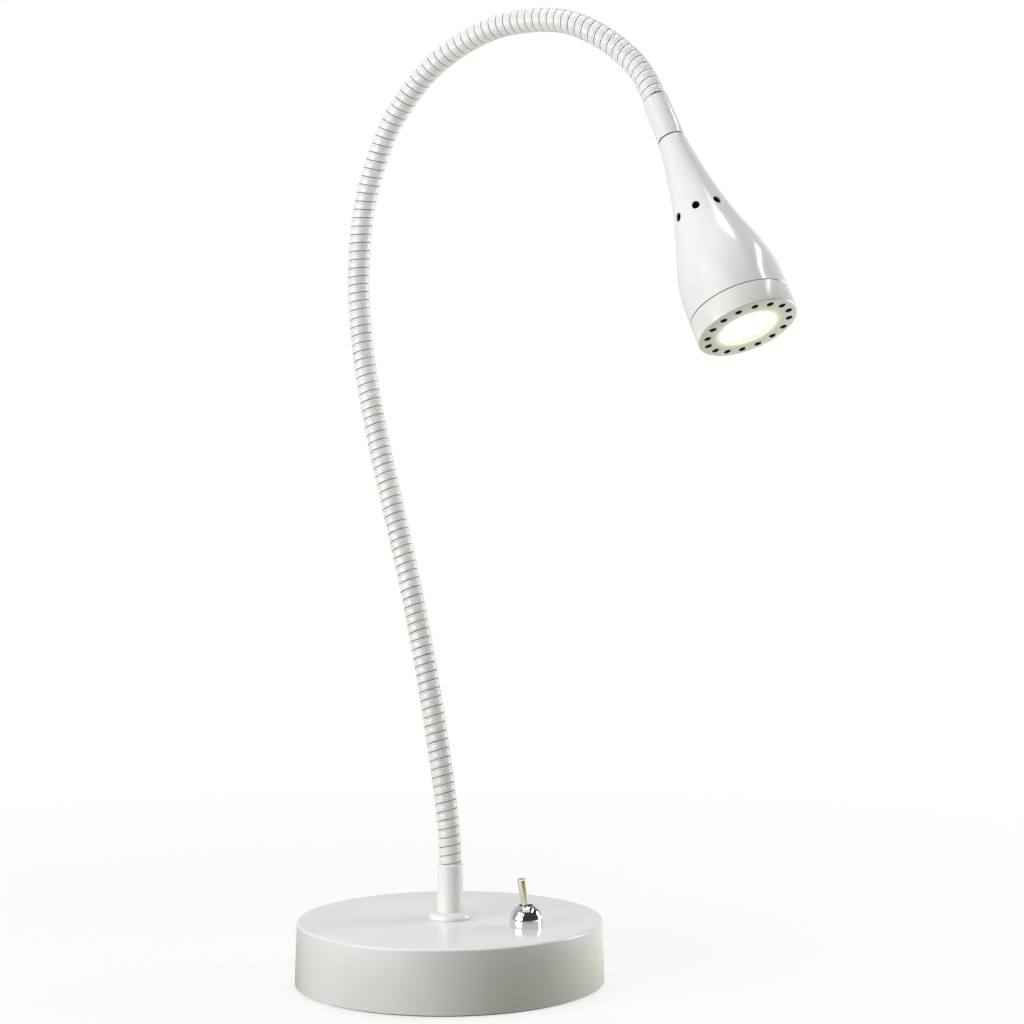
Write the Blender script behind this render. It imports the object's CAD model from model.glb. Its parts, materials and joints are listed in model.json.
"""Gooseneck desk lamp: the finish, and the pieces that show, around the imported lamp."""

import json
import math

import bpy
from mathutils import Matrix, Vector
from mathutils.geometry import interpolate_bezier


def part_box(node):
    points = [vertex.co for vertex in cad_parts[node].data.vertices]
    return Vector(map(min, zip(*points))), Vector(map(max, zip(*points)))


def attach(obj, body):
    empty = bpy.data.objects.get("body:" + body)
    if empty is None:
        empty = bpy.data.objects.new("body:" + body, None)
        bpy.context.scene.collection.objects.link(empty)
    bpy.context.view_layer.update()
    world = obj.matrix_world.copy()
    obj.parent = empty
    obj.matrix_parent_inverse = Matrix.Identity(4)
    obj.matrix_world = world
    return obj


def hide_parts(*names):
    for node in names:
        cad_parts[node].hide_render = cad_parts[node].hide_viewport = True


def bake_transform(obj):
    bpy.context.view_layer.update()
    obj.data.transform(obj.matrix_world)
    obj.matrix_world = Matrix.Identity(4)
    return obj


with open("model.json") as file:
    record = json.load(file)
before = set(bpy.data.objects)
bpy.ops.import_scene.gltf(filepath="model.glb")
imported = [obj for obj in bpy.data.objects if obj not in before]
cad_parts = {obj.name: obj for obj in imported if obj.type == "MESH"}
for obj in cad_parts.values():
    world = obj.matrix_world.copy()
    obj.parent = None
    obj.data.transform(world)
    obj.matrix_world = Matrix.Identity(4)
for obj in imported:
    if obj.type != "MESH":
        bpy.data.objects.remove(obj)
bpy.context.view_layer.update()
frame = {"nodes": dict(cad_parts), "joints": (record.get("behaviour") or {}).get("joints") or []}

MM = 0.001


# ---------------------------------------------------------------- sizes, in mm unless said

FIT = 0.05                  # clearance of pieces that slide into each other
CUT = 1                     # how far a tool passes the surface that it cuts
WELD = 0.002                # points closer together than this are merged
BISECT_NEAR = 0.001         # points closer to a bisecting plane than this lie on it

base_low, base_high = (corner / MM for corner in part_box("base_shell"))
pad_low, pad_high = (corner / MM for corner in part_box("foot_pad"))
stem_low, stem_high = (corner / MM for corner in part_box("stem_tube"))
collar_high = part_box("stem_collar")[1] / MM
grommet_low, grommet_high = (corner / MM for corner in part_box("inlet_grommet"))

BASE_TOP = base_high.z
BASE_RIM = base_low.z
BASE_RIM_R = base_high.x
BASE_TOP_R = 75
SHELL_T = 1.6
EDGE_R = 1.2                # bend between top and wall, outside
BEND_R = 0.8                # and inside
RIM_INNER_EDGE = 0.3
RIM_OUTER_EDGE = 0.4
PAD_LOW_EDGE = 0.5
PAD_HIGH_EDGE = 0.3
POST_R = 4
POST_HOLE_R = 2.05
POST_HOLE_DEPTH = 9
POST_CIRCLE_R = 55
POST_ANGLES = (45, 165, 285)
WEIGHT_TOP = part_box("base_weight")[1].z / MM
NIPPLE_HOLE_R = 5.05
BUSHING_HOLE_R = 6.05

STEM_R = stem_high.x
STEM_FOOT_EDGE = 0.2
STEM_MOUTH_EDGE = 0.8
SEAT_DEPTH = 10
SEAT_SPARE = 0.4            # how far the hose stays off the bottom of its seats
HOSE_SEAT = SEAT_DEPTH - SEAT_SPARE
SEAT_R = 5.7
NIPPLE_GRIP = 13.5
LEAD_BORE_R = 3.2
COLLAR_R = collar_high.x
COLLAR_EDGE = 0.9
COLLAR_CHAMFER = 0.35

GROMMET_Z = (grommet_low.z + grommet_high.z) / 2
GROMMET_LIP_R = (grommet_high.z - grommet_low.z) / 2
GROMMET_NECK_R = 4.05
GROMMET_BORE_R = 2.75
GROMMET_LIP_T = 1.6
GROMMET_SOFT_EDGE = 0.4
GROMMET_INNER_EDGE = 0.6
GROMMET_OUTER_EDGE = 0.9
GROMMET_MOUTH_EDGE = 0.5
INLET_CUT_IN = 5
INLET_CUT_OUT = 3

SWITCH_R = 42.5
SWITCH_ANGLE = 7            # degrees round the base
SWITCH_TURN = 90            # degrees from the outward line to the lever's plane
DOME_R = 8.1
DOME_WALL = 3
DOME_WINDOW_R = 3.42
DOME_BORE_R = 6.05
DOME_BORE_H = 7
DOME_INNER_EDGE = 0.2
DOME_OUTER_EDGE = 0.35
DOME_RIM_ROLL = 0.3
DOME_RIM_DROP = 0.25
PIVOT_H = 5
LEVER_LEAN = 14             # degrees
LEVER_LEN = 19.07
LEVER_FOOT_R = 1.6
LEVER_NECK_R = 1.62
LEVER_NECK_AT = 1           # above the ball
LEVER_TIP_R = 2.15
LEVER_TIP_EDGE = 0.6
LEVER_TIP_RISE = 0.12
LEVER_BALL_R = 3.1
LEVER_TAIL_R = 1
LEVER_TAIL = 8
LEVER_TAIL_CHAMFER = 0.3
LEVER_PIN_R = 0.8

HOSE_R = 5.55
HOSE_BORE_R = 3.2
HOSE_LEN = 568
HINGES = 14
LINK = HOSE_LEN / HINGES
TURNS_PER_LINK = 9.5
PITCH = LINK / TURNS_PER_LINK
HOSE_STEPS = 48
HOSE_END_RINGS = 10
HOSE_SHARP = 40             # degrees
FOOT_SHARE = 0.158          # straight share of a link, which comes before its bend
BLEND_INSET = 4

FERRULE_LEN = 23
FERRULE_R = 6.35
FERRULE_MOUTH_R = 6.05
LINER_R = 5.85
LINER_OUT = 0.45
FERRULE_MOUTH_EDGE = 0.15
FERRULE_STRAIGHT = 4
FERRULE_WEB = 2
FERRULE_PAINT_T = 0.4       # how deep below its skin a piece is still painted
LINER_SPARE = 0.02
FOOT_BAND = 1               # the first stretch of ferrule and bell
FERRULE_LEAD_R = 1.9
GROOVE_W = 0.5
GROOVE_DEPTH = 0.9
GROOVE_EDGE = 0.12
HEAD_LEN = 101.5
HEAD_R = 23
HEAD_T = 1.5
WAIST_AT = 53
WAIST_R = 16.5
NECK_SLOPE = 0.1
WAIST_SLOPE = 0.31
BELL_FULLNESS = 0.4
BELL_END = 85
RING_LEN = 10.5
SEAM_GAP = 0.25
SEAM_CHAMFER = 0.15
NECK_STEP = 0.3             # the bell's foot is this much slimmer than the ferrule
NECK_STEP_H = 0.2
NECK_SOLID = 16
HEAD_NIPPLE_R = 3.05
EDGE_BAND = 0.05            # how far bare metal shows from a seam's edge
VENTS = 8
VENT_AT = 42
VENT_R = 1.8
VENT_FLARE = 0.2
VENT_SINK = 0.15
VENT_CUT_IN = 5
VENT_CUT_OUT = 3
SPIGOT_R = 21.4
SPIGOT_T = 1
SPIGOT_LEN = 4.5
FACE_T = 2.2
FACE_EDGE = 0.7
FACE_PAINT_T = 0.25
RING_PAINT_T = 0.3
FACE_HOLES = 16
FACE_HOLE_R = 1.5
FACE_HOLE_CIRCLE_R = 19.1
FACE_HOLE_FLARE = 0.3
FACE_HOLE_CUT = 0.6
WINDOW_R = 13.2
WINDOW_EDGE = 0.3
LENS_SEAT_R = 14.2
LENS_SEAT_T = 1.3
LENS_SEAT_SPARE = 2
LENS_R = 14.1
LENS_LIP = 1
LENS_T = 2.5
LENS_RISE = 0.5
GASKET_T = 0.6
BOSSES = 3
BOSS_R = 2.1
BOSS_ROOT = 0.5
BOSS_HOLE_R = 1.3
BOSS_HOLE_DEPTH = 8
BOSS_CIRCLE_R = 18
REFLECTOR_LEN = 11
LED_BOARD_T = 1.6
FACE_AT = FERRULE_LEN + HEAD_LEN
SEAM_AT = FACE_AT - RING_LEN
LENS_AT = FACE_AT - LENS_LIP - GASKET_T - LENS_T
BOSS_FROM = LENS_AT - REFLECTOR_LEN - LED_BOARD_T


# ---------------------------------------------------------------- places

joints = {joint["name"]: joint for joint in frame["joints"]}


def middle(node):
    """The middle of a node's box."""
    low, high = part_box(node)
    return (low + high) / 2


def square_frame(origin, z_axis, near_x):
    """A frame with its Z along z_axis and its X as close to near_x as can be."""
    z_axis = z_axis.normalized()
    y_axis = z_axis.cross(near_x).normalized()
    x_axis = y_axis.cross(z_axis)
    turn = Matrix((x_axis, y_axis, z_axis)).transposed().to_4x4()
    return Matrix.Translation(origin) @ turn


head_axis = (middle("lens") - middle("head_ferrule")).normalized()
hose_end = middle("head_ferrule") - head_axis * FERRULE_LEN / 2 * MM
side_axis = Vector(joints["hose_side_14"]["axis"])
head_place = square_frame(hose_end, head_axis, head_axis.cross(side_axis).cross(head_axis))
face_centre = hose_end + head_axis * FACE_AT * MM

hose_start = Vector((0, 0, stem_high.z)) * MM
inlet_place = Matrix.Translation((0, 0, GROMMET_Z * MM)) @ Matrix.Rotation(math.radians(-90), 4, "Y")
switch_round = Matrix.Rotation(math.radians(SWITCH_ANGLE), 4, "Z")
switch_turn = Matrix.Rotation(math.radians(SWITCH_TURN), 4, "Z")
switch_place = switch_round @ Matrix.Translation(Vector((SWITCH_R, 0, BASE_TOP)) * MM) @ switch_turn
lever_tilt = Matrix.Rotation(math.radians(-LEVER_LEAN), 4, "Y")
lever_place = switch_place @ Matrix.Translation((0, 0, PIVOT_H * MM)) @ lever_tilt


# ---------------------------------------------------------------- modelling

def deselect():
    bpy.ops.object.select_all(action="DESELECT")


def only(piece):
    """Makes piece the one selected and active object."""
    deselect()
    piece.select_set(True)
    bpy.context.view_layer.objects.active = piece


def rounded(corners, points=5):
    """An outline from its corners (radius, height, rounding), with the round ones as arcs."""
    outline = []
    for i, corner in enumerate(corners):
        here = Vector(corner[:2])
        rounding = corner[2] if len(corner) > 2 else 0
        if not rounding:
            outline.append(tuple(here))
            continue
        to_last = (Vector(corners[i - 1][:2]) - here).normalized()
        to_next = (Vector(corners[(i + 1) % len(corners)][:2]) - here).normalized()
        half = to_last.angle(to_next) / 2
        centre = here + (to_last + to_next).normalized() * rounding / math.sin(half)
        first = here + to_last * rounding / math.tan(half) - centre
        last = here + to_next * rounding / math.tan(half) - centre
        for step in range(points + 1):
            arm = first.slerp(last, step / points)
            outline.append(tuple(centre + arm * rounding / arm.length))
    return outline


def arc(width, rise, start, end, points, side=0.0, foot=0.0):
    """An outline's arc round (side, foot), from one angle to another in radians, as an ellipse."""
    angles = (start + (end - start) * i / points for i in range(points + 1))
    return [(side + width * math.cos(angle), foot + rise * math.sin(angle)) for angle in angles]


def drawn(name, outline):
    """A line through an outline's points (radius, height) in mm, as a piece that is left in edit mode."""
    deselect()
    bpy.ops.mesh.primitive_plane_add(size=MM)
    piece = bpy.context.object
    piece.name = piece.data.name = name
    bpy.ops.object.mode_set(mode="EDIT")
    bpy.ops.mesh.select_all(action="SELECT")
    bpy.ops.mesh.merge(type="CENTER")
    radius, height = outline[0]
    bpy.ops.transform.translate(value=(radius * MM, 0, height * MM))
    for next_radius, next_height in outline[1:]:
        step = ((next_radius - radius) * MM, 0, (next_height - height) * MM)
        bpy.ops.mesh.extrude_region_move(TRANSFORM_OT_translate={"value": step})
        radius, height = next_radius, next_height
    return piece


def turned(name, outline, steps, ring=True):
    """A piece turned round +Z from its outline; ring closes the outline."""
    piece = drawn(name, outline + outline[:1] if ring else outline)
    bpy.ops.mesh.select_all(action="SELECT")
    bpy.ops.mesh.spin(steps=steps, angle=math.tau, center=(0, 0, 0), axis=(0, 0, 1))
    bpy.ops.mesh.select_all(action="SELECT")
    bpy.ops.mesh.remove_doubles(threshold=WELD * MM)
    bpy.ops.mesh.normals_make_consistent(inside=False)
    bpy.ops.object.mode_set(mode="OBJECT")
    smooth(piece)
    return piece


def mark_bare(piece, is_bare):
    """Marks the points where paint doesn't reach, in the attribute that the enamels read."""
    bare = piece.data.attributes.new("bare", "FLOAT", "POINT")
    bare.data.foreach_set("value", [float(is_bare(v.co / MM)) for v in piece.data.vertices])


def smooth(piece, sharp=35):
    """Smooth shading, apart from edges sharper than this many degrees."""
    only(piece)
    bpy.ops.object.shade_smooth_by_angle(angle=math.radians(sharp))


def put(piece, place):
    """Moves a piece to its place and keeps the place in its mesh."""
    only(piece)
    piece.matrix_world = place
    bpy.ops.object.transform_apply(location=True, rotation=True, scale=True)
    return piece


def joined(pieces):
    """Several pieces as one object."""
    deselect()
    for piece in pieces:
        piece.select_set(True)
    bpy.context.view_layer.objects.active = pieces[0]
    if len(pieces) > 1:
        bpy.ops.object.join()
    return pieces[0]


def apply_boolean(piece, tool, operation):
    """Cuts tool from piece, or adds it, and deletes the tool."""
    only(piece)
    modifier = piece.modifiers.new("shape", "BOOLEAN")
    modifier.operation = operation
    modifier.solver = "EXACT"
    modifier.object = tool
    bpy.ops.object.modifier_apply(modifier=modifier.name)
    bpy.data.objects.remove(tool)
    smooth(piece)


def rod(radius, low, high, place=Matrix.Identity(4), flare=0, steps=32):
    """A round tool along its own Z, from low to high, that can widen over its last stretch."""
    outline = [(0, low), (radius, low), (radius, high), (0, high)]
    if flare:
        outline = [(0, low), (radius, low), (radius, -flare), (radius + flare + high, high), (0, high)]
    return put(turned("tool", outline, steps, ring=False), place)


def round_z(angle, radius, height=0):
    """A place at this angle and radius round Z, its X pointing outwards."""
    turn = Matrix.Rotation(math.radians(angle), 4, "Z")
    return turn @ Matrix.Translation(Vector((radius, 0, height)) * MM)


# ---------------------------------------------------------------- shader maths

class Wire:
    """A socket of the material being made. Arithmetic on it adds Math nodes."""

    def __init__(self, tree, socket=None):
        self.tree = tree
        self.socket = socket

    def node(self, kind, output=0, settings=None, **inputs):
        """Adds any node: its settings, then its sockets, which go by name or by number, as in n0."""
        made = self.tree.nodes.new(kind)
        for name, value in (settings or {}).items():
            setattr(made, name, value)
        for name, value in inputs.items():
            key = int(name[1:]) if name[0] == "n" and name[1:].isdigit() else name.replace("_", " ")
            if isinstance(value, Wire):
                self.tree.links.new(value.socket, made.inputs[key])
            else:
                made.inputs[key].default_value = value
        return Wire(self.tree, made.outputs[output])

    def maths(self, operation, first, second=0.0):
        """A Math node; either value can be a number."""
        return self.node("ShaderNodeMath", settings={"operation": operation}, n0=first, n1=second)

    def __add__(self, other):
        return self.maths("ADD", self, other)

    def __radd__(self, other):
        return self.maths("ADD", other, self)

    def __sub__(self, other):
        return self.maths("SUBTRACT", self, other)

    def __rsub__(self, other):
        return self.maths("SUBTRACT", other, self)

    def __mul__(self, other):
        return self.maths("MULTIPLY", self, other)

    def __rmul__(self, other):
        return self.maths("MULTIPLY", other, self)

    def __truediv__(self, other):
        return self.maths("DIVIDE", self, other)

    def __rtruediv__(self, other):
        return self.maths("DIVIDE", other, self)

    def __pow__(self, other):
        return self.maths("POWER", self, other)

    def __rpow__(self, other):
        return self.maths("POWER", other, self)

    def smooth(self, low, high, start=0.0, end=1.0):
        """Runs from start, at low, to end, at high, with soft ends."""
        return self.node(
            "ShaderNodeMapRange", settings={"interpolation_type": "SMOOTHSTEP"},
            Value=self, From_Min=low, From_Max=high, To_Min=start, To_Max=end,
        )

    def mix(self, first, second):
        """The colour first where this is 0, second where it is 1. The node's sockets share their names."""
        return self.node(
            "ShaderNodeMix", output=2, settings={"data_type": "RGBA"},
            n0=self, n6=first, n7=second,
        )

    def place(self):
        """The point on the lamp, in metres."""
        return self.node("ShaderNodeTexCoord", output="Object")

    def vector(self, operation, first, second=(0, 0, 0)):
        """A Vector Math node; a length, a distance or a dot product is a value, and the rest vectors."""
        output = "Value" if operation in ("LENGTH", "DOT_PRODUCT", "DISTANCE") else "Vector"
        return self.node("ShaderNodeVectorMath", output=output, settings={"operation": operation},
                         n0=first, n1=second)

    def attribute(self, name):
        """A value that the piece's points hold."""
        return self.node("ShaderNodeAttribute", output="Fac", settings={"attribute_name": name})

    def bare_metal(self):
        """Where paint doesn't reach: 1 deep in a groove or hole, 0 on the skin."""
        return self.attribute("bare").smooth(0.1, 0.75)

    def from_head_axis(self):
        """Distance from the head's middle line, in metres."""
        offset = self.vector("SUBTRACT", self.place(), face_centre)
        return self.vector("LENGTH", self.vector("CROSS_PRODUCT", offset, head_axis))

    def past_face(self):
        """Distance past the ring's face along the head's middle line, in metres."""
        offset = self.vector("SUBTRACT", self.place(), face_centre)
        return self.vector("DOT_PRODUCT", offset, head_axis)

    def noise(self, size, detail=2.0):
        """Noise from 0 to 1 with patches of about this size in mm."""
        return self.node("ShaderNodeTexNoise", Vector=self.place(), Scale=1 / (size * MM), Detail=detail)

    def drift(self, size, tint, shade):
        """One colour that drifts into another over patches of this size in mm."""
        return self.noise(size, detail=3).smooth(0.35, 0.65).mix(rgba(*tint), rgba(*shade))

    def bump(self, height, depth):
        """A normal bumped by height, from 0 to 1, over this depth in mm."""
        return self.node("ShaderNodeBump", Height=height, Distance=depth * MM, Strength=1.0)


def rgba(*shade):
    """A colour with its alpha; one number is a grey."""
    return (*(shade * 3 if len(shade) == 1 else shade), 1.0)


def finish(name, **sockets):
    """A new material: returns its wire and the function that sets Principled's sockets."""
    material = bpy.data.materials.new(name)
    material.use_nodes = True
    tree = material.node_tree
    shader = tree.nodes["Principled BSDF"]
    wire = Wire(tree)

    def setting(**more):
        for key, value in more.items():
            socket = shader.inputs[key.replace("_", " ")]
            if isinstance(value, Wire):
                tree.links.new(value.socket, socket)
            else:
                socket.default_value = value
        return material

    setting(**sockets)
    return wire, setting


ENAMEL_COAT = {"Coat_Roughness": 0.08, "IOR": 1.5}
DRIFT_SIZE = 45
HOSE_DRIFT_SIZE = 30
BARE_METAL = (0.045, 0.044, 0.038)
SPECK = (0.55, 0.54, 0.5)
SPECK_SHARE = 0.12
FACE_TINT = (0.70, 0.70, 0.665)
FACE_TINT_FROM = -1.0       # the face's own tint begins this far past the face, in mm
FACE_TINT_FULL = -0.2       # and is full from here
GLOW = (0.34, 0.34, 0.14)
GLOW_W = 4.5                # how far the lens's glow reaches over the face, in mm
GLOW_FALL = 2.2             # the power with which it falls off
GAP_STEEL = (0.09, 0.09, 0.085)
RUBBED = (0.5, 0.5, 0.47)
RUBBED_SHARE = 0.35


def paint(name, tint, shade, roughness, peel, coat):
    """Sprayed enamel: a faint drift of tint, orange peel and a gloss that wanders a little."""
    wire, setting = finish(name, **ENAMEL_COAT)
    colour = wire.drift(DRIFT_SIZE, tint, shade)
    speck = wire.noise(size=0.55, detail=1).smooth(0.74, 0.8)
    colour = (speck * SPECK_SHARE).mix(colour, rgba(*SPECK))
    skin = wire.noise(size=1.6, detail=1) * 0.7 + wire.noise(size=0.35, detail=1) * 0.3
    return setting(
        Base_Color=wire.bare_metal().mix(colour, rgba(*BARE_METAL)),
        Roughness=roughness + wire.noise(size=12) * 0.08,
        Coat_Weight=coat,
        Normal=wire.bump(skin, peel),
    )


def face_enamel():
    """The ring's enamel, which takes the lens's glow on its face, close to the window."""
    wire, setting = finish("face_enamel", Emission_Strength=1.0, **ENAMEL_COAT)
    from_window = wire.from_head_axis().smooth(WINDOW_R * MM, (WINDOW_R + GLOW_W) * MM, 1.0, 0.0)
    glow = from_window ** GLOW_FALL
    on_face = wire.past_face().smooth(FACE_TINT_FROM * MM, FACE_TINT_FULL * MM)
    enamel = wire.drift(DRIFT_SIZE, tint=(0.80, 0.80, 0.77), shade=(0.77, 0.77, 0.74))
    enamel = on_face.mix(enamel, rgba(*FACE_TINT))
    return setting(
        Base_Color=wire.bare_metal().mix(enamel, rgba(*BARE_METAL)),
        Roughness=0.2 + wire.noise(size=12) * 0.08,
        Coat_Weight=0.5,
        Normal=wire.bump(wire.noise(size=1.6, detail=1), 0.003),
        Emission_Color=(glow * on_face).mix(rgba(0.0), rgba(*GLOW)),
    )


def hose_enamel():
    """Paint over the wound steel; it thins to bare dark steel down in the windings."""
    wire, setting = finish("hose_enamel", Coat_Roughness=0.1, IOR=1.5)
    gap = wire.attribute("gap")
    enamel = wire.drift(HOSE_DRIFT_SIZE, tint=(0.81, 0.81, 0.79), shade=(0.77, 0.775, 0.75))
    bare = gap.smooth(0.16, 0.34)
    rub = gap.smooth(0.07, 0.16) * wire.noise(size=3).smooth(0.3, 0.7) * RUBBED_SHARE
    skin = wire.noise(size=1.2, detail=1) * 0.6 + wire.noise(size=0.3, detail=1) * 0.4
    return setting(
        Base_Color=bare.mix(rub.mix(enamel, rgba(*RUBBED)), rgba(*GAP_STEEL)),
        Roughness=0.32 + wire.noise(size=8) * 0.1 + bare * 0.3,
        Coat_Weight=0.15,
        Normal=wire.bump(skin, 0.006),
    )


def metal(name, tint, stain, roughness, brushed, dirt):
    """Bare or plated metal with clouded spots and fine marks."""
    wire, setting = finish(name, Metallic=1.0)
    cloud = wire.noise(size=3.5, detail=4).smooth(0.45, 0.75)
    fine = wire.noise(size=0.25, detail=2)
    return setting(
        Base_Color=(cloud * dirt).mix(rgba(*tint), rgba(*stain)),
        Roughness=roughness + cloud * 0.12 + fine * brushed,
        Normal=wire.bump(fine, 0.004 * (1 + brushed * 20)),
    )


def dull(name, tint, shade, roughness, grain, depth, metallic=0.0):
    """Rubber, foam, cast iron, plastic and board: a mottled colour over a fine grain."""
    wire, setting = finish(name, Metallic=metallic)
    mottle = wire.noise(size=grain * 6, detail=3)
    fine = wire.noise(size=grain, detail=3)
    return setting(
        Base_Color=mottle.smooth(0.3, 0.7).mix(rgba(*tint), rgba(*shade)),
        Roughness=roughness + fine * 0.12,
        Normal=wire.bump(fine, depth),
    )


def lit_lens():
    """The diffusing lens, lit from behind: white, and yellower towards its edge."""
    wire, setting = finish("lit_lens", Roughness=0.35, Emission_Strength=1.0)
    edge = wire.from_head_axis().smooth(0.75 * WINDOW_R * MM, WINDOW_R * MM)
    return setting(
        Base_Color=edge.mix(rgba(0.9, 0.9, 0.86), rgba(0.85, 0.83, 0.7)),
        Emission_Color=edge.mix(rgba(2.6, 2.55, 2.3), rgba(1.5, 1.4, 0.85)),
        Normal=wire.bump(wire.noise(size=0.8), 0.01),
    )


finishes = {
    "white_paint": paint(
        "base_enamel", tint=(0.80, 0.80, 0.785), shade=(0.77, 0.77, 0.75),
        roughness=0.26, peel=0.006, coat=0.35),
    "head_paint": paint(
        "head_enamel", tint=(0.83, 0.835, 0.83), shade=(0.80, 0.805, 0.80),
        roughness=0.16, peel=0.003, coat=0.6),
    "hose_paint": hose_enamel(),
    "cast_weight": dull(
        "cast_iron", tint=(0.10, 0.10, 0.105), shade=(0.16, 0.155, 0.15),
        roughness=0.62, grain=1.2, depth=0.06, metallic=0.6),
    "zinc_steel": metal(
        "zinc_plate", tint=(0.62, 0.63, 0.62), stain=(0.45, 0.46, 0.43),
        roughness=0.3, brushed=0.15, dirt=0.5),
    "foam_pad": dull(
        "foam_pad", tint=(0.035, 0.035, 0.037), shade=(0.06, 0.06, 0.06),
        roughness=0.85, grain=0.5, depth=0.08),
    "grommet_rubber": dull(
        "grommet_rubber", tint=(0.03, 0.03, 0.03), shade=(0.05, 0.05, 0.05),
        roughness=0.55, grain=0.4, depth=0.01),
    "brass_thread": metal(
        "brass", tint=(0.75, 0.58, 0.28), stain=(0.45, 0.33, 0.14),
        roughness=0.28, brushed=0.1, dirt=0.4),
    "board_green": dull(
        "board_green", tint=(0.02, 0.16, 0.06), shade=(0.03, 0.2, 0.08),
        roughness=0.35, grain=0.4, depth=0.01),
    "part_black": dull(
        "part_black", tint=(0.025, 0.025, 0.027), shade=(0.05, 0.05, 0.05),
        roughness=0.45, grain=0.5, depth=0.01),
    "lead_sleeve": dull(
        "lead_sleeve", tint=(0.62, 0.62, 0.6), shade=(0.52, 0.52, 0.5),
        roughness=0.5, grain=0.6, depth=0.01),
    "lead_red": dull(
        "lead_red", tint=(0.5, 0.03, 0.025), shade=(0.38, 0.02, 0.02),
        roughness=0.45, grain=0.6, depth=0.01),
    "switch_black": dull(
        "switch_black", tint=(0.03, 0.03, 0.032), shade=(0.05, 0.05, 0.05),
        roughness=0.4, grain=0.4, depth=0.01),
    "nickel": metal(
        "worn_nickel", tint=(0.80, 0.77, 0.66), stain=(0.52, 0.47, 0.33),
        roughness=0.14, brushed=0.08, dirt=0.4),
    "chrome_nut": metal(
        "polished_chrome", tint=(0.86, 0.87, 0.88), stain=(0.55, 0.56, 0.57),
        roughness=0.045, brushed=0.03, dirt=0.12),
    "gasket_rubber": dull(
        "gasket_rubber", tint=(0.6, 0.6, 0.57), shade=(0.5, 0.5, 0.47),
        roughness=0.6, grain=0.5, depth=0.01),
    "lens_plastic": lit_lens(),
    "reflector_metal": metal(
        "reflector_metal", tint=(0.88, 0.88, 0.87), stain=(0.75, 0.75, 0.73),
        roughness=0.12, brushed=0.02, dirt=0.2),
    "led_phosphor": dull(
        "led_phosphor", tint=(0.85, 0.68, 0.12), shade=(0.8, 0.6, 0.1),
        roughness=0.5, grain=0.3, depth=0.01),
    "led_board_white": dull(
        "led_board_white", tint=(0.8, 0.8, 0.78), shade=(0.7, 0.7, 0.68),
        roughness=0.4, grain=0.4, depth=0.01),
    "sink_aluminium": metal(
        "sink_aluminium", tint=(0.74, 0.75, 0.76), stain=(0.55, 0.56, 0.57),
        roughness=0.35, brushed=0.2, dirt=0.4),
}


def dress(piece, slot, *nodes, body=None, material=None):
    """Gives a piece its finish, its body, and the nodes that it stands for."""
    piece.data.materials.clear()
    piece.data.materials.append(material or finishes[slot])
    if body:
        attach(piece, body)
    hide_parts(*nodes)
    return piece


# ---------------------------------------------------------------- base

def pressed_base():
    """The painted pan: pressed wall and top, three screw posts, and holes for stem, switch and cord."""
    under = BASE_TOP - SHELL_T
    slope = (BASE_RIM_R - BASE_TOP_R) / (BASE_TOP - BASE_RIM)
    under_r = BASE_TOP_R + slope * SHELL_T - SHELL_T
    pan = turned("lamp_base", rounded([
        (0, under), (under_r, under, BEND_R), (BASE_RIM_R - SHELL_T, BASE_RIM, RIM_INNER_EDGE),
        (BASE_RIM_R, BASE_RIM, RIM_OUTER_EDGE), (BASE_TOP_R, BASE_TOP, EDGE_R), (0, BASE_TOP),
    ]), steps=256, ring=False)
    post_places = [round_z(angle, POST_CIRCLE_R) for angle in POST_ANGLES]
    posts = [rod(POST_R, WEIGHT_TOP, under + SHELL_T / 2, place) for place in post_places]
    apply_boolean(pan, joined(posts), "UNION")
    hole_top = WEIGHT_TOP + POST_HOLE_DEPTH
    holes = [rod(POST_HOLE_R, WEIGHT_TOP - CUT, hole_top, place) for place in post_places]
    holes.append(rod(NIPPLE_HOLE_R, under - CUT, BASE_TOP + CUT))
    holes.append(rod(BUSHING_HOLE_R, -SHELL_T - CUT, CUT, switch_place))
    holes.append(rod(
        GROMMET_NECK_R + FIT, BASE_TOP_R - INLET_CUT_IN, BASE_TOP_R + INLET_CUT_OUT, inlet_place))
    apply_boolean(pan, joined(holes), "DIFFERENCE")
    return dress(pan, "white_paint", "base_shell", body="base")


def foam_foot():
    """The foam pad that the lamp stands on, with soft cut edges."""
    pad = turned("foam_foot", rounded([
        (0, pad_low.z), (pad_high.x, pad_low.z, PAD_LOW_EDGE),
        (pad_high.x, pad_high.z, PAD_HIGH_EDGE), (0, pad_high.z),
    ]), steps=192, ring=False)
    return dress(pad, "foam_pad", "foot_pad", body="base")


def cord_grommet():
    """The rubber grommet that lines the cord's hole: two full lips and a bore with soft edges."""
    inner, outer = -grommet_high.x, -grommet_low.x
    grommet = turned("cord_grommet", rounded([
        (GROMMET_BORE_R, inner, GROMMET_SOFT_EDGE), (GROMMET_LIP_R, inner, GROMMET_INNER_EDGE),
        (GROMMET_LIP_R, inner + GROMMET_LIP_T, GROMMET_SOFT_EDGE),
        (GROMMET_NECK_R, inner + GROMMET_LIP_T), (GROMMET_NECK_R, outer - GROMMET_LIP_T),
        (GROMMET_LIP_R, outer - GROMMET_LIP_T, GROMMET_SOFT_EDGE),
        (GROMMET_LIP_R, outer, GROMMET_OUTER_EDGE), (GROMMET_BORE_R, outer, GROMMET_MOUTH_EDGE),
    ]), steps=64)
    put(grommet, inlet_place)
    return dress(grommet, "grommet_rubber", "inlet_grommet", body="base")


# ---------------------------------------------------------------- stem

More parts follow.
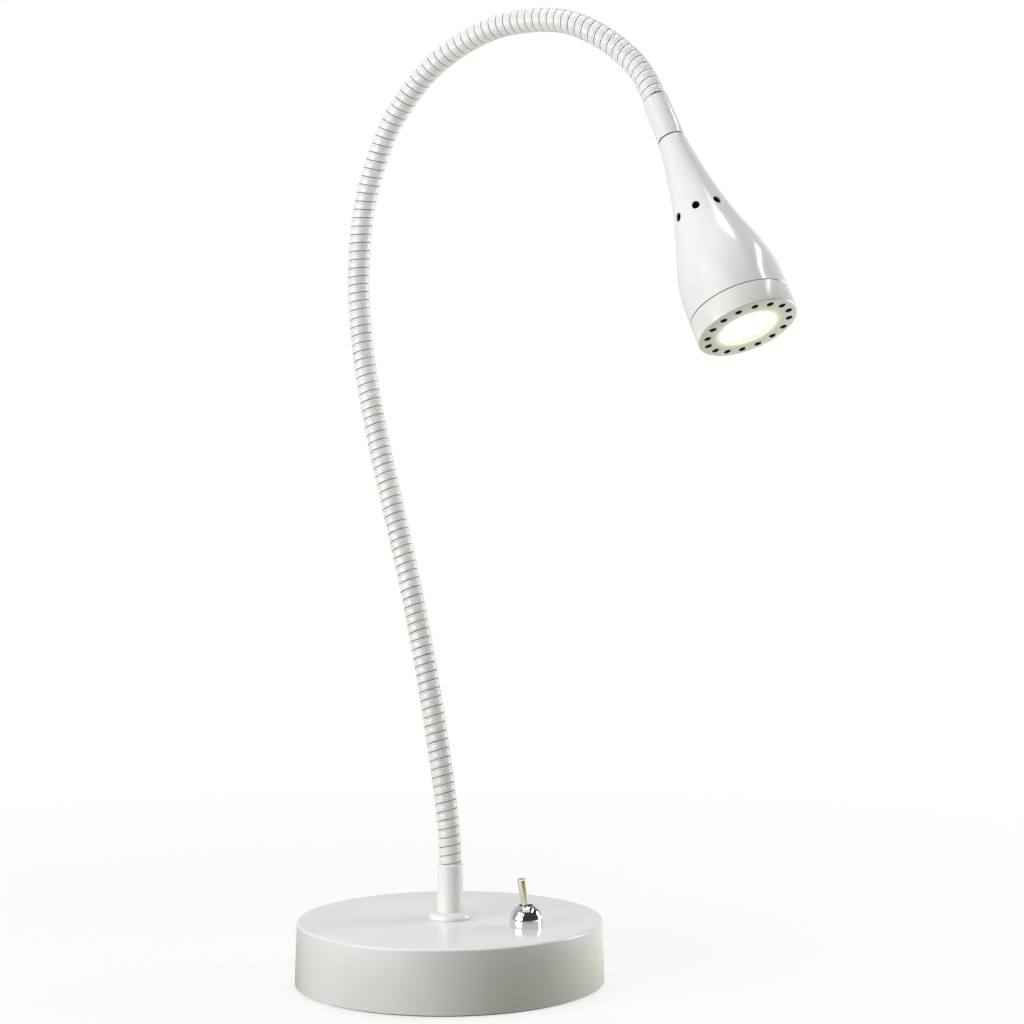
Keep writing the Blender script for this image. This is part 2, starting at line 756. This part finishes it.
def domed_collar():
    """The collar round the stem's foot: a short straight edge under a shallow dome."""
    foot = BASE_TOP
    edge = foot + COLLAR_EDGE
    inner = STEM_R + FIT
    dome = arc(COLLAR_R - inner, collar_high.z - edge, 0, math.pi / 2, points=10, side=inner, foot=edge)
    under = [(inner, foot), (COLLAR_R - COLLAR_CHAMFER, foot), (COLLAR_R, foot + COLLAR_CHAMFER)]
    collar = turned("stem_flange", under + dome, steps=128)
    return dress(collar, "white_paint", "stem_collar", body="base")


def stem_sleeve():
    """The straight tube that holds the hose's foot, its mouth turned in with a soft shoulder."""
    foot, mouth = stem_low.z, stem_high.z
    seat = mouth - SEAT_DEPTH
    sleeve = turned("stem_sleeve", rounded([
        (STEM_R, foot, STEM_FOOT_EDGE), (STEM_R, mouth, STEM_MOUTH_EDGE),
        (SEAT_R, mouth), (SEAT_R, seat), (LEAD_BORE_R, seat), (LEAD_BORE_R, foot + NIPPLE_GRIP),
        (NIPPLE_HOLE_R, foot + NIPPLE_GRIP), (NIPPLE_HOLE_R, foot),
    ]), steps=96)
    return dress(sleeve, "white_paint", "stem_tube", body="base")


# ---------------------------------------------------------------- switch

def dome_nut():
    """The polished dome nut: a straight wall, a round dome, and a window with a rolled rim."""
    window = math.acos((DOME_WINDOW_R + DOME_RIM_ROLL) / DOME_R)
    dome = arc(DOME_R, DOME_R, 0, window, points=18, foot=DOME_WALL)
    rim_top = dome[-1][1]
    foot = [(DOME_BORE_R, 0, DOME_INNER_EDGE), (DOME_R, 0, DOME_OUTER_EDGE)]
    outline = rounded(foot + dome + [
        (DOME_WINDOW_R, rim_top - DOME_RIM_DROP),
        (DOME_WINDOW_R, DOME_BORE_H), (DOME_BORE_R, DOME_BORE_H),
    ])
    nut = put(turned("dome_nut", outline, steps=128), switch_place)
    return dress(nut, "chrome_nut", "switch_dome_nut", body="base")


def switch_lever():
    """The toggle's lever: a pivot ball, a stem that widens to its tip, and a tail below."""
    ball = LEVER_BALL_R
    foot_angle = math.acos(LEVER_FOOT_R / ball)
    tail_angle = math.acos(LEVER_TAIL_R / ball)
    ball_side = arc(ball, ball, -tail_angle, foot_angle, points=10)
    tail = [
        (0, -LEVER_TAIL), (LEVER_TAIL_R - LEVER_TAIL_CHAMFER, -LEVER_TAIL),
        (LEVER_TAIL_R, -LEVER_TAIL + LEVER_TAIL_CHAMFER),
    ]
    tip = rounded([
        (LEVER_NECK_R, ball + LEVER_NECK_AT),
        (LEVER_TIP_R, LEVER_LEN - LEVER_TIP_RISE, LEVER_TIP_EDGE), (0, LEVER_LEN),
    ])
    lever = turned("switch_lever", tail + ball_side + tip, steps=64, ring=False)
    across = Matrix.Rotation(math.radians(90), 4, "X")
    apply_boolean(lever, rod(LEVER_PIN_R, -ball - CUT, ball + CUT, across, steps=24), "DIFFERENCE")
    put(lever, lever_place)
    return dress(lever, "nickel", "toggle_lever", body="toggle_lever")


# ---------------------------------------------------------------- hose

# One winding from its gap to the next: share of the pitch, and depth below the skin in mm
WINDING = [
    (0.000, 0.55), (0.030, 0.50), (0.040, 0.16), (0.075, 0.06), (0.14, 0.02), (0.25, 0.0),
    (0.40, 0.0), (0.56, 0.015), (0.66, 0.05), (0.71, 0.10), (0.735, 0.17), (0.76, 0.10),
    (0.81, 0.05), (0.88, 0.04), (0.935, 0.08), (0.96, 0.17), (0.970, 0.50), (1.0, 0.55),
]


def hose_knots():
    """Points of the hose's middle line with its direction there: both ends and every hinge."""
    points = [Vector(joint["pos_m"]) for joint in frame["joints"] if joint["name"].startswith("hose")]
    points = [hose_start] + points + [hose_end]
    share = (1 + FOOT_SHARE) / 2
    directions = [Vector((0, 0, 1))]
    for last, here, following in zip(points, points[1:], points[2:]):
        before, after = (here - last).normalized(), (following - here).normalized()
        directions.append((before * (1 - share) + after * share).normalized())
    directions.append(head_axis)
    return list(zip(points, directions))


def hose_line():
    """The hose's middle line as many close points."""
    steps = 24
    line = []
    knots = hose_knots()
    for (start, out), (end, into) in zip(knots, knots[1:]):
        reach = (end - start).length / 3
        stretch = interpolate_bezier(start, start + out * reach, end - into * reach, end, steps + 1)
        line += stretch[:-1]
    return line + [knots[-1][0]]


def line_length(line):
    return sum((b - a).length for a, b in zip(line, line[1:]))


def point_along(line, distance):
    """The point this far along a line, in metres."""
    for start, end in zip(line, line[1:]):
        step = (end - start).length
        if distance <= step:
            return start.lerp(end, distance / step)
        distance -= step
    return line[-1]


def wound_skin():
    """The straight hose: one winding's outline, screwed round Z from below the start to past the end."""
    spare = SEAT_DEPTH + 2 * PITCH
    low = -math.ceil(spare / PITCH) * PITCH
    turns = math.ceil((HOSE_LEN + 2 * spare) / PITCH) + 1
    skin = drawn("wound_skin", [(HOSE_R - depth, low + share * PITCH) for share, depth in WINDING])
    bpy.ops.object.mode_set(mode="OBJECT")
    screw = skin.modifiers.new("windings", "SCREW")
    screw.axis = "Z"
    screw.angle = math.tau
    screw.screw_offset = PITCH * MM
    screw.iterations = turns
    screw.steps = screw.render_steps = HOSE_STEPS
    bpy.ops.object.modifier_apply(modifier=screw.name)
    bpy.ops.object.mode_set(mode="EDIT")
    bpy.ops.mesh.select_all(action="SELECT")
    bpy.ops.mesh.remove_doubles(threshold=WELD * MM)
    bpy.ops.mesh.normals_make_consistent(inside=False)
    bpy.ops.object.mode_set(mode="OBJECT")
    return skin


def hose_piece(name, skin, low, high, route):
    """One stretch of the hose: cut from the skin, bored through, and bent along the route."""
    only(skin)
    bpy.ops.object.duplicate()
    piece = bpy.context.object
    piece.name = piece.data.name = name
    bpy.ops.object.mode_set(mode="EDIT")
    for height, clear in ((low, {"clear_inner": True}), (high, {"clear_outer": True})):
        bpy.ops.mesh.select_all(action="SELECT")
        bpy.ops.mesh.bisect(
            plane_co=(0, 0, height * MM), plane_no=(0, 0, 1), threshold=BISECT_NEAR * MM, **clear)
    bpy.ops.mesh.select_all(action="SELECT")
    bpy.ops.mesh.remove_doubles(threshold=WELD * MM)
    bpy.ops.object.mode_set(mode="OBJECT")
    gap = piece.data.attributes.new("gap", "FLOAT", "POINT")
    gap.data.foreach_set("value", [HOSE_R - v.co.xy.length / MM for v in piece.data.vertices])
    bpy.ops.object.mode_set(mode="EDIT")
    bpy.ops.mesh.select_mode(type="EDGE")
    bpy.ops.mesh.select_all(action="DESELECT")
    bpy.ops.mesh.select_non_manifold()
    bpy.ops.mesh.extrude_edges_move()
    share = HOSE_BORE_R / HOSE_R
    bpy.ops.transform.resize(value=(share, share, 1), center_override=(0, 0, 0))
    bpy.ops.mesh.bridge_edge_loops(number_cuts=HOSE_END_RINGS, interpolation="LINEAR")
    bpy.ops.mesh.select_mode(type="VERT")
    bpy.ops.mesh.select_all(action="SELECT")
    bpy.ops.mesh.normals_make_consistent(inside=False)
    bpy.ops.object.mode_set(mode="OBJECT")
    bend = piece.modifiers.new("bend", "CURVE")
    bend.object = route
    bend.deform_axis = "POS_Z"
    bpy.ops.object.modifier_apply(modifier=bend.name)
    smooth(piece, HOSE_SHARP)
    return piece


def route_curve(line):
    """The hose's middle line as a curve that the wound skin is bent along."""
    curve = bpy.data.curves.new("hose_route", "CURVE")
    curve.dimensions = "3D"
    spline = curve.splines.new("POLY")
    spline.points.add(len(line) - 1)
    for point, place in zip(spline.points, line):
        point.co = (*place, 1)
    route = bpy.data.objects.new("hose_route", curve)
    bpy.context.scene.collection.objects.link(route)
    return route


def wound_hose():
    """The hose in fourteen stretches, each from one link's middle to the next's, over one hinge."""
    line = hose_line()
    route = route_curve(line)
    stretch = line_length(line) / (HOSE_LEN * MM)
    skin = wound_skin()
    only(skin)
    skin.scale = (1, 1, stretch)
    bpy.ops.object.transform_apply(scale=True)
    bodies = ["base"] + [f"hose_link_{i:02d}" for i in range(1, HINGES)] + ["head"]
    for hinge in range(HINGES):
        low = hinge * LINK * stretch
        high = (hinge + 1) * LINK * stretch
        first, last = hinge == 0, hinge == HINGES - 1
        cut_low = low - HOSE_SEAT if first else low
        cut_high = high + HOSE_SEAT if last else high
        piece = hose_piece(f"hose_{hinge + 1:02d}", skin, cut_low, cut_high, route)
        start = point_along(line, (low + BLEND_INSET) * MM)
        end = point_along(line, (high - BLEND_INSET) * MM)
        nodes = [bodies[hinge + 1]]
        if first:
            nodes = ["hose_root", "hose_link_01"]
        if last:
            nodes = ["hose_tip"]
        dress(piece, "hose_paint", *nodes)
        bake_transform(piece)
    bpy.data.objects.remove(skin)
    bpy.data.objects.remove(route)


# ---------------------------------------------------------------- head

def ferrule():
    """The sleeve between hose and head, a little slimmer at its mouth."""
    web = SEAT_DEPTH + FERRULE_WEB

    def is_bare(point):
        """Bare are the liner in the mouth, the groove at the bell, and the inside."""
        skin_r = FERRULE_R - FERRULE_PAINT_T if point.z > FOOT_BAND else LINER_R + LINER_SPARE
        return point.xy.length < skin_r

    sleeve = turned("head_sleeve", rounded([
        (LINER_R, 0), (LINER_R, LINER_OUT), (FERRULE_MOUTH_R, LINER_OUT, FERRULE_MOUTH_EDGE),
        (FERRULE_R, FERRULE_LEN - FERRULE_STRAIGHT), (FERRULE_R, FERRULE_LEN - GROOVE_W, GROOVE_EDGE),
        (FERRULE_R - GROOVE_DEPTH, FERRULE_LEN - GROOVE_W), (FERRULE_R - GROOVE_DEPTH, FERRULE_LEN),
        (HEAD_NIPPLE_R, FERRULE_LEN), (HEAD_NIPPLE_R, web), (FERRULE_LEAD_R, web),
        (FERRULE_LEAD_R, SEAT_DEPTH), (SEAT_R, SEAT_DEPTH), (SEAT_R, 0),
    ]), steps=96)
    mark_bare(sleeve, is_bare)
    put(sleeve, head_place)
    return dress(sleeve, "head_paint", "head_ferrule", body="head")


def bell_line(offset=0.0, points=26):
    """The bell's outline from neck to rim, moved in by offset."""
    neck, waist, rim = (
        Vector((radius, height, 0))
        for radius, height in ((FERRULE_R, 0), (WAIST_R, WAIST_AT), (HEAD_R, BELL_END))
    )
    near = WAIST_AT / 3
    far = (BELL_END - WAIST_AT) * BELL_FULLNESS
    neck_way, waist_way, rim_way = (Vector((slope, 1, 0)) for slope in (NECK_SLOPE, WAIST_SLOPE, 0))
    curves = [
        (neck, neck + near * neck_way, waist - near * waist_way, waist),
        (waist, waist + far * waist_way, rim - far * rim_way, rim),
    ]
    line = []
    for curve in curves:
        line += interpolate_bezier(*curve, points)[:-1]
    line.append(rim)
    moved = []
    for i, here in enumerate(line):
        along = (line[min(i + 1, len(line) - 1)] - line[max(i - 1, 0)]).normalized()
        moved.append((here.x - along.y * offset, here.y + along.x * offset))
    return moved


def bell():
    """The head's bell: a thin spun shell over a solid neck, with a ring of vents."""
    end = HEAD_LEN - RING_LEN - SEAM_GAP
    skin = bell_line()
    outside = skin + [(HEAD_R, end - SEAM_CHAMFER), (HEAD_R - SEAM_CHAMFER, end)]
    inside = [point for point in bell_line(HEAD_T) if point[1] > NECK_SOLID]
    hollow = [(HEAD_R - HEAD_T, end)] + inside[::-1] + [(HEAD_NIPPLE_R, NECK_SOLID), (HEAD_NIPPLE_R, 0)]
    above_step = [(r, z) for r, z in outside if z > NECK_STEP_H]
    shell = turned("head_bell", [(FERRULE_R - NECK_STEP, 0)] + above_step + hollow, steps=192)
    edge_r = next(r for r, z in outside if z > VENT_AT) - VENT_SINK
    lie_down = Matrix.Rotation(math.radians(90), 4, "Y")
    vent_places = [round_z(360 / VENTS * (i + 0.5), edge_r, VENT_AT) @ lie_down for i in range(VENTS)]
    vents = [rod(VENT_R, -VENT_CUT_IN, VENT_CUT_OUT, place, flare=VENT_FLARE) for place in vent_places]
    apply_boolean(shell, joined(vents), "DIFFERENCE")
    mark_bare(shell, lambda point: point.z > end - EDGE_BAND or is_inside_bell(point, skin))
    put(shell, head_place @ Matrix.Translation((0, 0, FERRULE_LEN * MM)))
    return dress(shell, "head_paint", "head_shell", body="head")


def is_inside_bell(point, skin):
    """Whether a point of the bell lies deeper under its skin than half its wall."""
    outer = next((r for r, z in skin if z > point.z), HEAD_R)
    return point.z > FOOT_BAND and point.xy.length < outer - HEAD_T / 2


def vented_ring():
    """The front ring: a spigot that enters the bell, a lens seat, three bosses and sixteen air holes."""
    back = FACE_AT - FACE_T
    seat_back = back - (LENS_T + GASKET_T + LENS_SEAT_SPARE)

    def is_bare(point):
        """Bare are the seam with the bell, and the walls of the holes below the face."""
        between = LENS_SEAT_R < point.xy.length < HEAD_R - RING_PAINT_T
        below_face = point.z < FACE_AT - FACE_PAINT_T
        return point.z < SEAM_AT + EDGE_BAND or (below_face and between)

    ring = turned("front_bezel", rounded([
        (HEAD_R, SEAM_AT, SEAM_CHAMFER), (HEAD_R, FACE_AT, FACE_EDGE), (WINDOW_R, FACE_AT, WINDOW_EDGE),
        (WINDOW_R, FACE_AT - LENS_LIP), (LENS_SEAT_R, FACE_AT - LENS_LIP),
        (LENS_SEAT_R, seat_back), (LENS_SEAT_R + LENS_SEAT_T, seat_back), (LENS_SEAT_R + LENS_SEAT_T, back),
        (SPIGOT_R - SPIGOT_T, back), (SPIGOT_R - SPIGOT_T, SEAM_AT - SPIGOT_LEN),
        (SPIGOT_R, SEAM_AT - SPIGOT_LEN), (SPIGOT_R, SEAM_AT),
    ]), steps=192)
    step = 360 / FACE_HOLES
    boss_angles = [step / 2 + step * (FACE_HOLES // BOSSES) * i for i in range(BOSSES)]
    boss_places = [round_z(angle, BOSS_CIRCLE_R) for angle in boss_angles]
    bosses = [rod(BOSS_R, BOSS_FROM, back + BOSS_ROOT, place) for place in boss_places]
    apply_boolean(ring, joined(bosses), "UNION")
    hole_places = [round_z(step * i, FACE_HOLE_CIRCLE_R, FACE_AT) for i in range(FACE_HOLES)]
    holes = [
        rod(FACE_HOLE_R, -FACE_T - CUT, FACE_HOLE_CUT, place, flare=FACE_HOLE_FLARE)
        for place in hole_places
    ]
    holes += [
        rod(BOSS_HOLE_R, BOSS_FROM - CUT, BOSS_FROM + BOSS_HOLE_DEPTH, place)
        for place in boss_places
    ]
    apply_boolean(ring, joined(holes), "DIFFERENCE")
    mark_bare(ring, is_bare)
    put(ring, head_place)
    return dress(ring, "head_paint", "front_ring", body="head", material=face_enamel())


def diffuser():
    """The lens: a disc with a low dome and a flat rim that its gasket presses on."""
    rim = LENS_AT + LENS_T - LENS_RISE
    dome = arc(WINDOW_R, LENS_RISE, 0, math.pi / 2, points=8, foot=rim)
    disc = [(0, LENS_AT), (LENS_R, LENS_AT), (LENS_R, rim)]
    outline = disc + dome[:-1] + [(0, rim + LENS_RISE)]
    lens = put(turned("lens_diffuser", outline, steps=96, ring=False), head_place)
    return dress(lens, "lens_plastic", "lens", body="head")


# ---------------------------------------------------------------- the rest of the CAD pieces

NODES_OF_SLOT = {
    "cast_weight": ["base_weight"],
    "zinc_steel": ["bottom_plate", "bottom_screws", "stem_washer", "board_screws", "switch_pivot_pin",
                   "switch_lock_washer", "switch_inner_nut", "head_nut", "led_board_screws",
                   "heat_sink_screws"],
    "brass_thread": ["stem_nipple", "stem_nut", "switch_terminals", "switch_bushing", "head_nipple",
                     "board_standoffs"],
    "board_green": ["driver_board"],
    "part_black": ["driver_parts"],
    "lead_sleeve": ["lamp_leads", "head_leads"],
    "lead_red": ["switch_leads"],
    "switch_black": ["switch_case"],
    "gasket_rubber": ["lens_gasket"],
    "reflector_metal": ["reflector"],
    "led_phosphor": ["led_emitter"],
    "led_board_white": ["led_board"],
    "sink_aluminium": ["heat_sink"],
}


def dress_cad_nodes():
    """Gives every CAD piece that still shows its own finish."""
    for slot, names in NODES_OF_SLOT.items():
        for name in names:
            node = frame["nodes"][name]
            node.data.materials.clear()
            node.data.materials.append(finishes[slot])


# ---------------------------------------------------------------- floor, lights and camera, in metres

CAMERA_AT = (0.6302, -0.8248, 0.231)
CAMERA_TURN = 34.556
CAMERA_LENS = 74.0
CAMERA_SENSOR = 36
CAMERA_SHIFT = -0.0411

right_hand = Vector((math.cos(math.radians(CAMERA_TURN)), math.sin(math.radians(CAMERA_TURN)), 0))
away = Vector((-right_hand.y, right_hand.x, 0))
up = Vector((0, 0, 1))

LIT_POINT = Vector((0.03, 0, 0.22))
LIGHT_DISTANCE = 1.4
DAYLIGHT = (0.95, 1.0, 1.1)

# Colours of the room and of what the floor throws, and the stretch over which each one comes in.
# A stretch goes by the cosine of an angle in the room and on the far floor, and by metres elsewhere
WHITE = (1.0, 1.0, 1.0)
ROOM_PALE = (0.41, 0.4, 0.41)
ROOM_DARK = (0.05, 0.046, 0.036)
ROOM_DARK_IN = (-0.6, 0.5)
ROOM_BEHIND = (0.7, 0.7, 0.71)
ROOM_BEHIND_IN = (0.6, 0.92)
FLOOR_R = 3
FLOOR_COLOUR = (0.92, 0.92, 0.915)
FLOOR_WHITE_IN = (0.1, 0.8)
FLOOR_WHITE_SHARE = (0.7, 1.0)
NEAR_DARK = (0.04, 0.035, 0.01)
NEAR_PALE = (1.0, 0.98, 0.72)
NEAR_PALE_IN = (-0.12, 0.2)
FAR_DARK = (0.47, 0.46, 0.5)
FAR_PALE = (2.1, 2.2, 2.25)
FAR_PALE_IN = (-0.7, 0.9)
FAR_BEHIND = (0.42, 0.42, 0.43)
FAR_BEHIND_IN = (0.8, 0.94)
FAR_IN = (0.3, 0.9)
POOL = (0.05, 0.045, 0.03)  # the spot that the head points at
POOL_IN = (0.05, 0.25)
NO_ZERO = 1e-6              # keeps the floor's middle from a division by zero


def camera():
    data = bpy.data.cameras.new("camera")
    data.lens = CAMERA_LENS
    data.sensor_width = CAMERA_SENSOR
    data.shift_x = CAMERA_SHIFT
    made = bpy.data.objects.new("camera", data)
    made.location = CAMERA_AT
    made.rotation_euler = (math.radians(90), 0, math.radians(CAMERA_TURN))
    bpy.context.scene.collection.objects.link(made)
    bpy.context.scene.camera = made


def softbox(name, azimuth, elevation, width, height, radiance, tint=WHITE):
    """A soft rectangular light. Its azimuth is counted from the camera's side, to the right."""
    turn, tilt = math.radians(azimuth), math.radians(elevation)
    level = math.sin(turn) * right_hand - math.cos(turn) * away
    data = bpy.data.lights.new(name, "AREA")
    data.shape = "RECTANGLE"
    data.size = width
    data.size_y = height
    data.energy = radiance * math.pi * width * height
    data.color = tint
    light = bpy.data.objects.new(name, data)
    arm = math.cos(tilt) * level + math.sin(tilt) * up
    light.location = LIT_POINT + LIGHT_DISTANCE * arm
    light.rotation_euler = (-arm).to_track_quat("-Z", "Y").to_euler()
    light.visible_camera = False
    bpy.context.scene.collection.objects.link(light)


def studio():
    """Three lights on the left, low to high, two on the right, one overhead and one above the camera."""
    softbox("left_key", azimuth=-52, elevation=4, width=1.1, height=0.25, radiance=14.5)
    softbox("left_spill", azimuth=-50, elevation=10, width=1.25, height=0.55, radiance=1.4)
    softbox("left_fill", azimuth=-48, elevation=36, width=1.3, height=0.6, radiance=1.1)
    softbox("right_key", azimuth=110, elevation=8, width=0.55, height=0.8, radiance=8.0, tint=DAYLIGHT)
    softbox("right_strip", azimuth=92, elevation=50, width=0.9, height=0.1, radiance=9.0)
    softbox("overhead", azimuth=180, elevation=84, width=0.9, height=0.6, radiance=4.8)
    softbox("front_top", azimuth=0, elevation=68, width=1.2, height=0.45, radiance=0.7)


def room():
    """The room: dark on the right front, paler on the left and palest behind. The camera sees it white."""
    world = bpy.data.worlds.new("room")
    bpy.context.scene.world = world
    world.use_nodes = True
    tree = world.node_tree
    background = tree.nodes["Background"]
    wire = Wire(tree)
    towards = wire.node("ShaderNodeTexCoord")
    dark_side = (right_hand - away).normalized()
    darkness = wire.vector("DOT_PRODUCT", towards, dark_side).smooth(*ROOM_DARK_IN)
    walls = darkness.mix(rgba(*ROOM_PALE), rgba(*ROOM_DARK))
    behind = wire.vector("DOT_PRODUCT", towards, away).smooth(*ROOM_BEHIND_IN)
    walls = behind.mix(walls, rgba(*ROOM_BEHIND))
    seen = wire.node("ShaderNodeLightPath", output="Is Camera Ray")
    tree.links.new(seen.mix(walls, rgba(*WHITE)).socket, background.inputs["Color"])
    background.inputs["Strength"].default_value = 1.0


def thrown_by_floor(wire, distance):
    """What the floor throws on the lamp: most from the right and behind, least from the left front."""
    place = wire.place()
    pale_side = (0.6 * right_hand + 0.8 * away).normalized()
    along = wire.vector("DOT_PRODUCT", place, pale_side)
    near = along.smooth(*NEAR_PALE_IN).mix(rgba(*NEAR_DARK), rgba(*NEAR_PALE))
    far = (along / (distance + NO_ZERO)).smooth(*FAR_PALE_IN).mix(rgba(*FAR_DARK), rgba(*FAR_PALE))
    behind = wire.vector("DOT_PRODUCT", place, away) / (distance + NO_ZERO)
    far = behind.smooth(*FAR_BEHIND_IN).mix(far, rgba(*FAR_BEHIND))
    pool_centre = hose_end + head_axis * hose_end.z / -head_axis.z
    in_pool = wire.vector("DISTANCE", place, pool_centre).smooth(*POOL_IN, 1.0, 0.0)
    return in_pool.mix(distance.smooth(*FAR_IN).mix(near, far), rgba(*POOL))


def floor():
    """A pale floor that the camera sees fade into the white room."""
    deselect()
    bpy.ops.mesh.primitive_circle_add(vertices=96, radius=FLOOR_R, fill_type="NGON")
    plane = bpy.context.object
    plane.name = "floor"
    wire, setting = finish("pale_floor", Roughness=0.6)
    plane.data.materials.append(setting(Base_Color=rgba(*FLOOR_COLOUR)))
    tree = wire.tree
    distance = wire.vector("LENGTH", wire.place())
    white = wire.node("ShaderNodeEmission", Color=rgba(*WHITE), Strength=1.0)
    lit = Wire(tree, tree.nodes["Principled BSDF"].outputs[0])
    white_share = distance.smooth(*FLOOR_WHITE_IN, *FLOOR_WHITE_SHARE)
    pale = wire.node("ShaderNodeMixShader", n0=white_share, n1=lit, n2=white)
    thrown = wire.node("ShaderNodeEmission", Color=thrown_by_floor(wire, distance), Strength=1.0)
    seen = wire.node("ShaderNodeLightPath", output="Is Camera Ray")
    mixed = wire.node("ShaderNodeMixShader", n0=seen, n1=thrown, n2=pale)
    tree.links.new(mixed.socket, tree.nodes["Material Output"].inputs["Surface"])


camera()
studio()
room()
floor()
bpy.context.scene.view_settings.view_transform = "Standard"

pressed_base()
foam_foot()
cord_grommet()
domed_collar()
stem_sleeve()
dome_nut()
switch_lever()
wound_hose()
ferrule()
bell()
vented_ring()
diffuser()
dress_cad_nodes()
